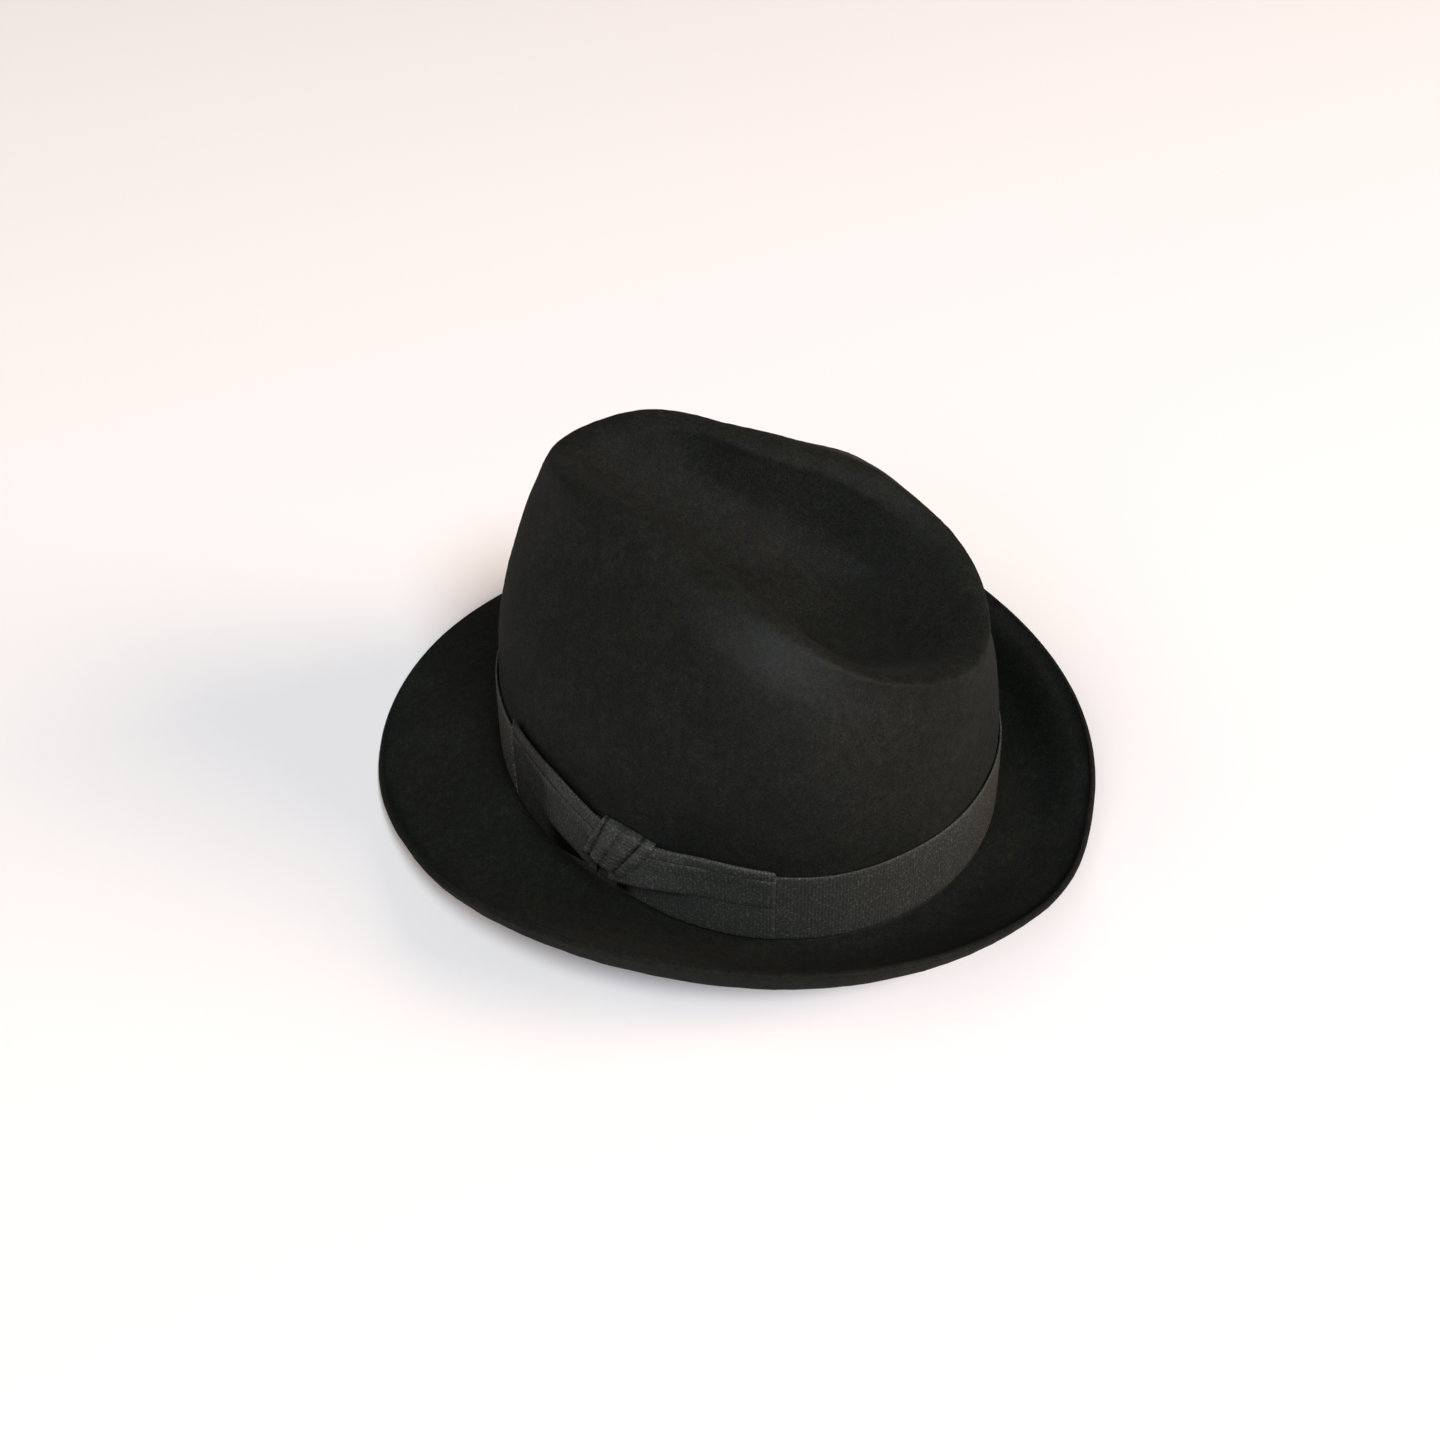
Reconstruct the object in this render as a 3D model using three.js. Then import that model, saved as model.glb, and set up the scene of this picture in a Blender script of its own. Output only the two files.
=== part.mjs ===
// A black wool felt trilby with a ribbed ribbon band and a flat bow on the wearer's left.
// Millimetres, +Z up. The front of the hat is -Y, the wearer's left is +X.
// The origin is on the surface that the hat stands on, under the middle of its whole outline.
import * as THREE from 'three';

// Felt: the oval of the head opening, measured on the outside of the crown
const HALF_LENGTH = 97;
const HALF_WIDTH = 83;
const EGG = 0.07;               // the oval is this much wider towards the back
const FELT = 2.2;               // thickness of the wall and of the brim
const FLOOR_MIDDLE = 95;        // height of the hollow in the crown, at its middle
const BREAK = 2.5;              // reach of the small round where the wall turns into the brim
const TAPER = 2;                // how far the wall leans in from its foot to above the band
const ROUND = 0.42;             // most of a span that the crest's rounding may take
const OPENING_BACK = 7.17;      // the head opening's middle lies this far behind the origin

// The hat is not quite even: the brim is cocked a little on the bow side and curls more
// softly on the other, and the crest is lowest at the back of the wearer's right
const LEFT_LIFT = 1.2;
const TWIST_LIFT = 3.3;
const LIP_EASE = 7;              // how much wider the lip is where it is softest
const LIP_FLAT = 0.7;            // and the share of its height that it lacks there
const LIP_AT = 300;              // degrees from the back round the left
const RIGHT_DROP = 2.3;
const DROP_AT = 318;            // degrees from the back round the left

// The back edge of each side pinch: a soft ridge, before which the wall lies in a little
const PINCH_STEP = 0.5;
const PINCH_WIDTH = 5;          // degrees
const PINCH_RIDGE = 1.9;
const PINCH_REACH = 9;
const PINCH_FADE = 17;
const PINCH_FOOT = 80;          // the ridge grows from this height over PINCH_RISE
const PINCH_RISE = 22;
const PINCH_TOP = 121;

// Ribbon
const BAND_LOW = 1.6;           // bottom edge of the band above the crown's foot
const BAND_HIGH = 33;
const RIBBON = 0.9;
const CLEAR = 0.35;             // gap that is kept between touching pieces
const LEAF = 1.6;
const KNOT = 2.2;

// How finely the shapes are divided
const AROUND = 64;
const STEPS = 2;
const RIBBON_ROWS = [0, 0.5, 1];
const CREST_ROW = 16;           // the guide point where the crest's outer side ends
const LEAF_STEPS = 4;

// Sections of the brim by their angle in degrees, from the back round the wearer's left to
// the front. The right side repeats them. reach is how far the edge stands out from the
// crown's foot, rise its height, lipIn and lipUp the steep lip that ends it, sag the share
// of the rise that half of the reach has, flat the level start of the brim, foot the height
// of the crown's foot.
const BRIM = [
  { at: 0, reach: 35.0, rise: 9.5, lipIn: 3.0, lipUp: 5.0, sag: 0.2, flat: 10, foot: 2.0 },
  { at: 30, reach: 35.5, rise: 21.5, lipIn: 2.0, lipUp: 7.0, sag: 0.2, flat: 9, foot: 2.0 },
  { at: 60, reach: 36.0, rise: 29.0, lipIn: 1.5, lipUp: 8.0, sag: 0.22, flat: 6, foot: 2.4 },
  { at: 90, reach: 39.5, rise: 31.5, lipIn: 1.5, lipUp: 8.0, sag: 0.25, flat: 4, foot: 6.0 },
  { at: 120, reach: 43.5, rise: 15.0, lipIn: 3.0, lipUp: 5.0, sag: 0.3, flat: 4, foot: 9.5 },
  { at: 150, reach: 49.0, rise: 4.3, lipIn: 5.0, lipUp: 1.5, sag: 0.5, flat: 4, foot: 11.0 },
  { at: 180, reach: 51.0, rise: 2.4, lipIn: 6.0, lipUp: 0.5, sag: 0.6, flat: 4, foot: 11.5 },
];

// Sections of the crown at the same angles. wall is the wall's radius half-way up, as a share
// of the foot's. upper and shoulder lead the wall up to the crest, the ridge round the
// teardrop hollow, whose side is steep down to side and flat at floor. R is a distance
// from the middle and Z a height. pinch draws the wall in under the shoulder, puff fills the
// shoulder out, soft rounds the crest off.
const CROWN = [
  { at: 0, wall: 0.960, upperR: 91, upperZ: 70, pinch: 0, shoulderR: 88.2, shoulderZ: 84.2,
    puff: 1, crestR: 83.8, crestZ: 91.2, soft: 8.0, sideR: 54, sideZ: 80, floorZ: 84 },
  { at: 30, wall: 0.955, upperR: 86, upperZ: 74, pinch: 0, shoulderR: 79.6, shoulderZ: 91.6,
    puff: 1, crestR: 74.8, crestZ: 101, soft: 8.5, sideR: 47, sideZ: 83, floorZ: 86 },
  { at: 60, wall: 0.966, upperR: 80, upperZ: 84, pinch: 0, shoulderR: 67.5, shoulderZ: 105,
    puff: 1, crestR: 51.0, crestZ: 118.4, soft: 10.5, sideR: 32, sideZ: 94, floorZ: 91 },
  { at: 90, wall: 0.945, upperR: 63, upperZ: 96, pinch: 1.6, shoulderR: 50.5, shoulderZ: 117.6,
    puff: 0, crestR: 37.2, crestZ: 125.1, soft: 10.0, sideR: 23, sideZ: 103, floorZ: 96 },
  { at: 120, wall: 0.920, upperR: 57, upperZ: 100, pinch: 2.2, shoulderR: 44.5, shoulderZ: 125.6,
    puff: 0, crestR: 36.8, crestZ: 129.6, soft: 8.5, sideR: 24, sideZ: 108, floorZ: 100 },
  { at: 150, wall: 0.932, upperR: 69, upperZ: 104, pinch: 0.9, shoulderR: 60.2, shoulderZ: 127,
    puff: 0.6, crestR: 54.4, crestZ: 130.9, soft: 9.0, sideR: 32, sideZ: 112, floorZ: 102.5 },
  { at: 180, wall: 0.955, upperR: 84, upperZ: 102, pinch: 0, shoulderR: 76.2, shoulderZ: 117.5,
    puff: 1, crestR: 67.6, crestZ: 126.4, soft: 9.5, sideR: 40, sideZ: 113, floorZ: 103.5 },
];

// Where the back edge of a side pinch runs down the wall, as angles by height
const PINCH_EDGE = [
  { z: 92, at: 74.5 },
  { z: 101, at: 73 },
  { z: 108, at: 73.5 },
  { z: 113, at: 77 },
  { z: 118, at: 86 },
];

// Sections of the bow's pieces. low and high are heights above the crown's foot, lowOut and
// highOut how far the back of the piece stands off the felt at its bottom and top edges.
const BACK_LEAF = [
  { at: 61.0, low: 2.0, high: 34.8, lowOut: 1.6, highOut: 1.6 },
  { at: 68.0, low: 2.5, high: 36.2, lowOut: 1.6, highOut: 1.6 },
  { at: 75.0, low: 6.0, high: 36.4, lowOut: 1.9, highOut: 1.6 },
  { at: 82.0, low: 15.0, high: 35.2, lowOut: 3.4, highOut: 1.8 },
  { at: 88.6, low: 16.5, high: 33.6, lowOut: 5.0, highOut: 2.2 },
];
const KNOT_SECTIONS = [
  { at: 88.9, low: 16.5, high: 33.6, lowOut: 4.6, highOut: 2.0 },
  { at: 91.6, low: 15.6, high: 34.8, lowOut: 6.2, highOut: 2.8 },
  { at: 94.7, low: 15.0, high: 35.4, lowOut: 6.8, highOut: 3.0 },
  { at: 97.8, low: 14.4, high: 35.4, lowOut: 6.2, highOut: 2.8 },
  { at: 100.5, low: 14.0, high: 35.0, lowOut: 4.6, highOut: 2.0 },
];
const FRONT_LEAF = [
  { at: 100.8, low: 15.0, high: 34.8, lowOut: 5.0, highOut: 2.2 },
  { at: 108.0, low: 16.5, high: 38.2, lowOut: 4.0, highOut: 1.8 },
  { at: 115.0, low: 14.0, high: 39.2, lowOut: 2.6, highOut: 1.7 },
  { at: 122.0, low: 6.0, high: 39.4, lowOut: 1.8, highOut: 1.6 },
  { at: 130.0, low: 2.0, high: 39.4, lowOut: 1.6, highOut: 1.6 },
];

// A smooth value between the rows of a table whose left side is mirrored to the right
function roundTheHat(table, column, angle) {
  const values = table.map((row) => row[column]);
  const ring = [...values, ...values.slice(1, -1).reverse()];
  const place = (angle / (2 * Math.PI)) * ring.length;
  const first = Math.floor(place);
  const part = place - first;
  const value = (step) => ring[(first + step + 2 * ring.length) % ring.length];
  return smoothStep(value(-1), value(0), value(1), value(2), part);
}

// Catmull-Rom blend between b and c
function smoothStep(a, b, c, d, part) {
  const rise = (c - a) * part;
  const bend = (2 * a - 5 * b + 4 * c - d) * part ** 2;
  const turn = (3 * b - a - 3 * c + d) * part ** 3;
  return 0.5 * (2 * b + rise + bend + turn);
}

// The foot of the crown at an angle: its distance from the middle and its direction
function footOval(angle) {
  const x = HALF_WIDTH * Math.sin(angle) * (1 + EGG * Math.cos(angle));
  const y = HALF_LENGTH * Math.cos(angle);
  const radius = Math.hypot(x, y);
  return { radius, east: x / radius, north: y / radius };
}

// How much softer the lip is at an angle than its table says, from 0 to 1
function lipSoftness(angle) {
  const off = angle - THREE.MathUtils.degToRad(LIP_AT);
  return ((1 + Math.cos(off)) / 2) ** 2.5;
}

// How much lower the crest is at an angle than its table says
function rightDrop(angle) {
  const off = angle - THREE.MathUtils.degToRad(DROP_AT);
  return RIGHT_DROP * ((1 + Math.cos(off)) / 2) ** 2;
}

// How far the wall stands out near the back edge of a side pinch
function pinchRelief(angle, height) {
  const turn = THREE.MathUtils.radToDeg(Math.min(angle, 2 * Math.PI - angle));
  const after = PINCH_EDGE.findIndex((row) => row.z > height);
  const high = PINCH_EDGE.at(after === -1 ? -1 : after);
  const low = PINCH_EDGE.at(after === -1 ? -1 : Math.max(after - 1, 0));
  const edge = high === low ? low.at : THREE.MathUtils.mapLinear(height, low.z, high.z, low.at, high.at);
  const off = turn - edge;
  const grow = THREE.MathUtils.clamp((height - PINCH_FOOT) / PINCH_RISE, 0, 1);
  const end = THREE.MathUtils.clamp((PINCH_TOP - height) / 8, 0, 1);
  const ridge = PINCH_RIDGE * Math.exp(-Math.sqrt(off ** 2 + 1.2) / PINCH_REACH);
  const step = PINCH_STEP * Math.tanh(off / PINCH_WIDTH);
  return (ridge - step) * Math.exp(-((off / PINCH_FADE) ** 2)) * grow * end;
}

// The line that guides a section, from the brim's edge to the middle of the hollow, as
// distances from the middle and heights
function guideLine(angle) {
  const brim = (column) => roundTheHat(BRIM, column, angle);
  const crown = (column) => roundTheHat(CROWN, column, angle);
  const { radius } = footOval(angle);
  const foot = brim('foot');
  const edge = radius + brim('reach');
  const rise = brim('rise') + LEFT_LIFT * Math.sin(angle) + TWIST_LIFT * Math.sin(2 * angle);
  const lipUp = brim('lipUp') * (1 - LIP_FLAT * lipSoftness(angle));
  const lipIn = brim('lipIn') + LIP_EASE * lipSoftness(angle);
  const lipFoot = rise - lipUp;
  const bandTop = foot + BAND_HIGH + 2;
  const upper = new THREE.Vector2(crown('upperR'), crown('upperZ'));
  const shoulder = new THREE.Vector2(crown('shoulderR'), crown('shoulderZ') - rightDrop(angle));
  const side = new THREE.Vector2(crown('sideR'), crown('sideZ'));
  const crestZ = crown('crestZ') - rightDrop(angle);
  const soft = crown('soft');
  const under = shoulder.clone().lerp(upper, 0.35);
  under.x -= crown('pinch');
  const archOut = new THREE.Vector2(crown('crestR') + 0.35 * soft, crestZ);
  const archIn = new THREE.Vector2(crown('crestR') - 0.65 * soft, crestZ);
  const inner = archIn.clone().lerp(side, Math.min((1.3 * soft) / archIn.distanceTo(side), ROUND));
  const roll = archOut.clone().lerp(shoulder, 0.5);
  roll.y += crown('puff');
  return [
    new THREE.Vector2(edge, rise),
    new THREE.Vector2(edge - 0.1 * lipIn, rise - 0.6 * lipUp),
    new THREE.Vector2(edge - lipIn, lipFoot),
    new THREE.Vector2(radius + brim('reach') / 2, foot + (lipFoot - foot) * brim('sag')),
    new THREE.Vector2(radius + brim('flat'), foot + 0.1),
    new THREE.Vector2(radius + BREAK, foot),
    new THREE.Vector2(radius, foot),
    new THREE.Vector2(radius, foot + BREAK),
    new THREE.Vector2(radius - TAPER / 3, foot + BAND_HIGH / 2),
    new THREE.Vector2(radius - TAPER, bandTop),
    new THREE.Vector2(radius * crown('wall'), (bandTop + upper.y) / 2),
    upper,
    under,
    shoulder,
    roll,
    archOut,
    archIn,
    inner,
    side,
    new THREE.Vector2(side.x / 2, crown('floorZ')),
    new THREE.Vector2(0, FLOOR_MIDDLE),
  ];
}

// A smooth line along a guide line: one parabola at each inner point of the guide
function smoothLine(guide) {
  const line = [guide[0]];
  for (let i = 1; i < guide.length - 1; i += 1) {
    const start = i === 1 ? guide[0] : guide[i - 1].clone().lerp(guide[i], 0.5);
    const end = i === guide.length - 2 ? guide[i + 1] : guide[i].clone().lerp(guide[i + 1], 0.5);
    const bend = new THREE.QuadraticBezierCurve(start, guide[i], end);
    line.push(...bend.getPoints(STEPS).slice(1));
  }
  return line;
}

// A point in space from an angle, a distance from the middle and a height
function atAngle(angle, distance, height) {
  const { east, north } = footOval(angle);
  return new THREE.Vector3(distance * east, distance * north, height);
}

// The felt's upper face as a grid: a row for each place along the section, from edge to middle
function feltGrid() {
  const sections = [];
  for (let i = 0; i < AROUND; i += 1) {
    const angle = (2 * Math.PI * i) / AROUND;
    const line = smoothLine(guideLine(angle));
    const relief = (p, row) => (row < CREST_ROW * STEPS ? pinchRelief(angle, p.y) : 0);
    sections.push(line.map((p, row) => atAngle(angle, p.x + relief(p, row), p.y)));
  }
  return sections[0].map((_, row) => sections.map((section) => section[row]));
}

// The same grid one felt thickness below, never under the surface that the hat stands on
function lowerGrid(grid) {
  const last = grid.length - 1;
  return grid.map((row, j) => row.map((point, i) => {
    const next = row[(i + 1) % AROUND];
    const before = row[(i + AROUND - 1) % AROUND];
    const inward = grid[Math.min(j + 1, last)][i].clone().sub(grid[Math.max(j - 1, 0)][i]);
    const normal = next.clone().sub(before).cross(inward).normalize();
    if (j === last) {
      normal.set(0, 0, -1);
    }
    const below = point.clone().addScaledVector(normal, FELT);
    below.z = Math.max(below.z, 0);
    return below;
  }));
}

// A closed surface through rows of points. A row of one point closes an end. With loop, the
// last row joins the first.
function skin(rows, loop = false) {
  const points = rows.flat();
  const starts = rows.map((_, j) => rows.slice(0, j).reduce((sum, row) => sum + row.length, 0));
  const faces = [];
  const pairs = loop ? rows.length : rows.length - 1;
  for (let j = 0; j < pairs; j += 1) {
    const k = (j + 1) % rows.length;
    const count = Math.max(rows[j].length, rows[k].length);
    const place = (row, i) => starts[row] + (rows[row].length === 1 ? 0 : i % count);
    for (let i = 0; i < count; i += 1) {
      if (rows[j].length > 1) {
        faces.push(place(j, i), place(j, i + 1), place(k, i));
      }
      if (rows[k].length > 1) {
        faces.push(place(j, i + 1), place(k, i + 1), place(k, i));
      }
    }
  }
  const geometry = new THREE.BufferGeometry();
  geometry.setAttribute('position', new THREE.Float32BufferAttribute(points.flatMap((p) => p.toArray()), 3));
  geometry.setIndex(facingOut(points, faces));
  geometry.computeVertexNormals();
  return geometry;
}

// The faces turned so that the body's volume counts as positive
function facingOut(points, faces) {
  let volume = 0;
  for (let f = 0; f < faces.length; f += 3) {
    const [a, b, c] = faces.slice(f, f + 3).map((index) => points[index]);
    volume += a.dot(b.clone().cross(c));
  }
  if (volume > 0) {
    return faces;
  }
  const turned = [];
  for (let f = 0; f < faces.length; f += 3) {
    turned.push(faces[f], faces[f + 2], faces[f + 1]);
  }
  return turned;
}

// The felt body: crown and brim are one piece, open below
function feltBody() {
  const upper = feltGrid();
  const lower = lowerGrid(upper);
  const last = upper.length - 1;
  const outside = upper.slice(0, last).reverse();
  const inside = lower.slice(0, last);
  return skin([[upper[last][0]], ...outside, ...inside, [lower[last][0]]]);
}

// How far the felt wall is from the middle at a height above the crown's foot
function wallDistance(angle, height) {
  const foot = roundTheHat(BRIM, 'foot', angle);
  const line = smoothLine(guideLine(angle));
  const wallStart = 6 * STEPS;
  const top = line.findIndex((p, i) => i > wallStart && p.y >= foot + height);
  const [low, high] = [line[top - 1], line[top]];
  return low.x + ((high.x - low.x) * (foot + height - low.y)) / (high.y - low.y);
}

// A point that stands off the felt wall
function offTheWall(angle, height, out) {
  const foot = roundTheHat(BRIM, 'foot', angle);
  return atAngle(angle, wallDistance(angle, height) + out, foot + height);
}

// The ribbon band: a closed ring on the foot of the crown
function ribbonBand() {
  const sections = [];
  for (let i = 0; i < AROUND; i += 1) {
    const angle = (2 * Math.PI * i) / AROUND;
    const heights = RIBBON_ROWS.map((part) => BAND_LOW + (BAND_HIGH - BAND_LOW) * part);
    const back = heights.map((height) => offTheWall(angle, height, CLEAR));
    const face = heights.map((height) => offTheWall(angle, height, CLEAR + RIBBON));
    sections.push([...back, ...face.reverse()]);
  }
  const rows = sections[0].map((_, row) => sections.map((section) => section[row]));
  return skin(rows, true);
}

// A piece of the bow: a slab lofted through its table
function bowPiece(table, thickness) {
  const rows = [];
  const spans = table.length - 1;
  const value = (column, place) => {
    const first = Math.min(Math.floor(place), spans - 1);
    const row = (step) => table[THREE.MathUtils.clamp(first + step, 0, spans)][column];
    return smoothStep(row(-1), row(0), row(1), row(2), place - first);
  };
  for (let i = 0; i <= spans * LEAF_STEPS; i += 1) {
    const place = i / LEAF_STEPS;
    const angle = THREE.MathUtils.degToRad(value('at', place));
    const point = (part, extra) => offTheWall(
      angle,
      THREE.MathUtils.lerp(value('low', place), value('high', place), part),
      THREE.MathUtils.lerp(value('lowOut', place), value('highOut', place), part) + extra,
    );
    const back = RIBBON_ROWS.map((part) => point(part, 0));
    const face = RIBBON_ROWS.map((part) => point(part, thickness));
    rows.push([...back, ...face.reverse()]);
  }
  const middle = (row) => row.reduce((sum, p) => sum.add(p), new THREE.Vector3()).divideScalar(row.length);
  return skin([[middle(rows[0])], ...rows, [middle(rows.at(-1))]]);
}

function feltMaterial() {
  return new THREE.MeshStandardMaterial({ color: 0x1e1e1c, roughness: 0.95, metalness: 0 });
}

function ribbonMaterial() {
  return new THREE.MeshStandardMaterial({ color: 0x242626, roughness: 0.6, metalness: 0 });
}

function piece(name, geometry, material) {
  const mesh = new THREE.Mesh(geometry, material);
  mesh.name = name;
  return mesh;
}

const trilby = new THREE.Group();
trilby.position.y = OPENING_BACK;
trilby.add(piece('felt_body', feltBody(), feltMaterial()));
trilby.add(piece('ribbon_band', ribbonBand(), ribbonMaterial()));
trilby.add(piece('bow_back_leaf', bowPiece(BACK_LEAF, LEAF), ribbonMaterial()));
trilby.add(piece('bow_knot', bowPiece(KNOT_SECTIONS, KNOT), ribbonMaterial()));
trilby.add(piece('bow_front_leaf', bowPiece(FRONT_LEAF, LEAF), ribbonMaterial()));

export default trilby;
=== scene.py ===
"""A black wool felt trilby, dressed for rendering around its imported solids.

The front of the hat is -Y, the wearer's left is +X. Everything is in metres, and the tables
below are in millimetres.
"""
import math
import random

import bpy
import numpy as np
from bpy.props import FloatProperty, FloatVectorProperty, PointerProperty
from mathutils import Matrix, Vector, noise


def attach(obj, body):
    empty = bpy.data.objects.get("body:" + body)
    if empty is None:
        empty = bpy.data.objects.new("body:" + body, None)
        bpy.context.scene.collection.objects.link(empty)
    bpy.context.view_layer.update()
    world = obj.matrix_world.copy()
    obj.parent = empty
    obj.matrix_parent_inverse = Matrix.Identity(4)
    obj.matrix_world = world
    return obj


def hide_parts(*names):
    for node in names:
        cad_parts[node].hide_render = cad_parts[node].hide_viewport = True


bl_info = {
    "name": "Felt trilby",
    "version": (1, 0, 0),
    "blender": (4, 5, 0),
    "location": "View3D > Sidebar > Trilby",
    "description": "Builds a felt trilby with its ribbon, bow, materials and stage",
    "category": "Object",
}

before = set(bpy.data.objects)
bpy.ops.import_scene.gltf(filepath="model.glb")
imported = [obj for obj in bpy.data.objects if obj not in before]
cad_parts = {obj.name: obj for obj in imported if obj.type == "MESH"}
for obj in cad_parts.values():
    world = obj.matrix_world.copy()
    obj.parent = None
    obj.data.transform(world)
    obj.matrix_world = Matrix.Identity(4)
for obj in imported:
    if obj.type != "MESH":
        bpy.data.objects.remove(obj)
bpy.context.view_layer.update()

MM = 0.001
ROOT = "root"

# Named sizes of the hat, in millimetres, the same as its solids have. The head opening's oval
# is EGG wider at the back, and lies OPENING_BACK behind the middle of the hat.
HALF_LENGTH = 97
HALF_WIDTH = 83
EGG = 0.07
OPENING_BACK = 7.17
FELT = 2.2
# The brim is cocked: higher on the left, and higher at two opposite corners
LEFT_LIFT = 1.2
TWIST_LIFT = 3.3
# On the wearer's right the brim's lip is wider and flatter
LIP_AT = 300
LIP_EASE = 7
LIP_FLAT = 0.7
# The crown's wall: how round its foot is, how far it leans in over the band
BREAK = 2.5
TAPER = 2
# The crest is lower at the back right
DROP_AT = 318
RIGHT_DROP = 2.3
# Where the wall starts to bend in below the shoulder, as a part of the way down
UNDER_SHOULDER = 0.35
# The crest's arch is soft wide: this much of it lies outside and inside the crest's own line
ARCH_OUT = 0.35
ARCH_IN = 0.65
# How far down the hollow's side the arch is rounded, in arch widths, and at most as a part
ROUND_DOWN = 1.3
ROUND = 0.42
# The height of the hollow's floor in its middle
FLOOR_MIDDLE = 95
# The ribbon band above the crown's foot, and the gap that is kept between touching pieces
BAND_LOW = 1.6
BAND_HIGH = 33
CLEAR = 0.35

# Sections of the brim by their angle, from the back round the wearer's left to the front
BRIM = [
    {"at": 0, "reach": 35.0, "rise": 9.5, "lip_in": 3.0, "lip_up": 5.0, "sag": 0.2, "flat": 10,
     "foot": 2.0},
    {"at": 30, "reach": 35.5, "rise": 21.5, "lip_in": 2.0, "lip_up": 7.0, "sag": 0.2,
     "flat": 9, "foot": 2.0},
    {"at": 60, "reach": 36.0, "rise": 29.0, "lip_in": 1.5, "lip_up": 8.0, "sag": 0.22,
     "flat": 6, "foot": 2.4},
    {"at": 90, "reach": 39.5, "rise": 31.5, "lip_in": 1.5, "lip_up": 8.0, "sag": 0.25,
     "flat": 4, "foot": 6.0},
    {"at": 120, "reach": 43.5, "rise": 15.0, "lip_in": 3.0, "lip_up": 5.0, "sag": 0.3,
     "flat": 4, "foot": 9.5},
    {"at": 150, "reach": 49.0, "rise": 4.3, "lip_in": 5.0, "lip_up": 1.5, "sag": 0.5,
     "flat": 4, "foot": 11.0},
    {"at": 180, "reach": 51.0, "rise": 2.4, "lip_in": 6.0, "lip_up": 0.5, "sag": 0.6,
     "flat": 4, "foot": 11.5},
]

# Sections of the crown at the same angles
CROWN = [
    {"at": 0, "wall": 0.960, "upper_r": 91, "upper_z": 70, "pinch": 0, "shoulder_r": 88.2,
     "shoulder_z": 84.2, "puff": 1, "crest_r": 83.8, "crest_z": 91.2, "soft": 8.0,
     "side_r": 54, "side_z": 80, "floor_z": 84},
    {"at": 30, "wall": 0.955, "upper_r": 86, "upper_z": 74, "pinch": 0, "shoulder_r": 79.6,
     "shoulder_z": 91.6, "puff": 1, "crest_r": 74.8, "crest_z": 101, "soft": 8.5, "side_r": 47,
     "side_z": 83, "floor_z": 86},
    {"at": 60, "wall": 0.966, "upper_r": 80, "upper_z": 84, "pinch": 0, "shoulder_r": 67.5,
     "shoulder_z": 105, "puff": 1, "crest_r": 51.0, "crest_z": 118.4, "soft": 10.5,
     "side_r": 32, "side_z": 94, "floor_z": 91},
    {"at": 90, "wall": 0.945, "upper_r": 63, "upper_z": 96, "pinch": 1.6, "shoulder_r": 50.5,
     "shoulder_z": 117.6, "puff": 0, "crest_r": 37.2, "crest_z": 125.1, "soft": 10.0,
     "side_r": 23, "side_z": 103, "floor_z": 96},
    {"at": 120, "wall": 0.920, "upper_r": 57, "upper_z": 100, "pinch": 2.2, "shoulder_r": 44.5,
     "shoulder_z": 125.6, "puff": 0, "crest_r": 36.8, "crest_z": 129.6, "soft": 8.5,
     "side_r": 24, "side_z": 108, "floor_z": 100},
    {"at": 150, "wall": 0.932, "upper_r": 69, "upper_z": 104, "pinch": 0.9, "shoulder_r": 60.2,
     "shoulder_z": 127, "puff": 0.6, "crest_r": 54.4, "crest_z": 130.9, "soft": 9.0,
     "side_r": 32, "side_z": 112, "floor_z": 102.5},
    {"at": 180, "wall": 0.955, "upper_r": 84, "upper_z": 102, "pinch": 0, "shoulder_r": 76.2,
     "shoulder_z": 117.5, "puff": 1, "crest_r": 67.6, "crest_z": 126.4, "soft": 9.5,
     "side_r": 40, "side_z": 113, "floor_z": 103.5},
]

# The back edge of each side pinch runs down the wall at these angles and heights
PINCH_EDGE = [
    {"z": 92, "at": 74.5},
    {"z": 101, "at": 73},
    {"z": 108, "at": 73.5},
    {"z": 113, "at": 77},
    {"z": 118, "at": 86},
]
# A step and a ridge follow that edge; both die out over PINCH_FADE degrees
PINCH_STEP = 0.5
PINCH_WIDTH = 5
PINCH_RIDGE = 1.9
PINCH_BLUNT = 1.2
PINCH_REACH = 9
PINCH_FADE = 17
# They grow from this height over PINCH_RISE, and end below this one over PINCH_END
PINCH_FOOT = 80
PINCH_RISE = 22
PINCH_TOP = 121
PINCH_END = 8
# Guide points are counted from the brim's edge; the crest's outer side ends here
CREST_ROW = 16.2

# A pressed crease runs along the crest between two angles, and fades in and out over some more
CREASE_ROW = 15.75
CREASE_WIDE = 0.17
CREASE_HIGH = 0.45
CREASE_FROM = 38
CREASE_IN = 22
CREASE_TO = 172
CREASE_OUT = 20

# Where hands have polished the shoulder: at this angle and this point of the guide line
POLISH_AT = 57
POLISH_WIDE = 21
POLISH_ROW = 13.2
POLISH_ROWS = 1.5

# The hand-blocked felt is never quite even: the size of its lumps and how far they stand out
SWELLS = [{"size": 34, "high": 0.5}, {"size": 13, "high": 0.22}]
# The nap's own grain, as parts of the nap's depth
GRAIN = [{"size": 3.1, "part": 1}, {"size": 1.4, "part": 0.7}]
# The cut edge of the brim swells between its two faces, and is blunter than a half circle
EDGE_SWELL = 0.42
EDGE_BLUNT = 0.7

# How finely the felt is divided
FELT_AROUND = 256
FELT_STEPS = 8
EDGE_ROWS = 4

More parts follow.
